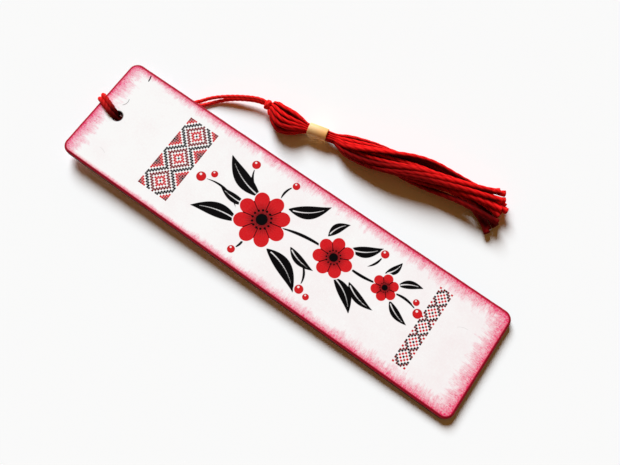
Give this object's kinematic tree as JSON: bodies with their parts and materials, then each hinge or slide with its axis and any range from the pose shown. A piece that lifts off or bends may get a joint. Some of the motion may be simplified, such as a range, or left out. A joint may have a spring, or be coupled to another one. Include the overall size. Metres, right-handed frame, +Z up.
{
  "type": "bookmark",
  "caption": "Flat wooden bookmark with rounded corners and a printed front, a red cord hitched through its end hole, and a yarn tassel gathered by a tube bead.",
  "frame": {"origin": "on the table under the middle of the card", "axes": "+X along the card from the hole end to the far end, +Y across it towards the side where the tassel lies, +Z up out of the printed front"},
  "size_m": [0.1564, 0.0744, 0.0076],
  "materials": {
    "inked_wood": "inked and sanded, satin varnish",
    "printed_paper": "printed sheet under satin varnish",
    "red_cord": "twisted cotton, matte",
    "red_yarn": "soft plied yarn, matte",
    "bead_wood": "turned, lightly waxed"
  },
  "bodies": {
    "card": {"card_blank": "inked_wood", "front_print": "printed_paper", "cord_hitch": "red_cord"},
    "cord": {"cord_leg_left": "red_cord", "cord_leg_right": "red_cord"},
    "tie": {"tie_knot": "red_cord", "tie_loop": "red_cord"},
    "tassel": {"yarn_inner_1": "red_yarn", "yarn_inner_2": "red_yarn", "yarn_inner_3": "red_yarn", "yarn_inner_4": "red_yarn", "yarn_inner_5": "red_yarn", "yarn_outer_1": "red_yarn", "yarn_outer_2": "red_yarn", "yarn_outer_3": "red_yarn", "yarn_outer_4": "red_yarn"},
    "bead": {"bead": "bead_wood"}
  },
  "joints": [
    {"name": "cord_swing", "type": "hinge", "parent": "card", "child": "cord", "pos_m": [-0.06912, 0, 0], "axis": [0, 0, 1], "range_deg": [0, 250]},
    {"name": "knot_swivel", "type": "hinge", "parent": "cord", "child": "tie", "pos_m": [-0.03043, 0.03419, 0.0035], "axis": [0, 0, 1], "range_deg": [-8, 60]},
    {"name": "tassel_lift", "type": "hinge", "parent": "tie", "child": "tassel", "pos_m": [-0.02681, 0.03432, 0.0035], "axis": [0.0349, -0.9994, 0], "range_deg": [0, 60]},
    {"name": "bead_slide", "type": "slide", "parent": "tassel", "child": "bead", "axis": [0.9744, 0.225, 0], "range_m": [0, 0.0025]}
  ]
}
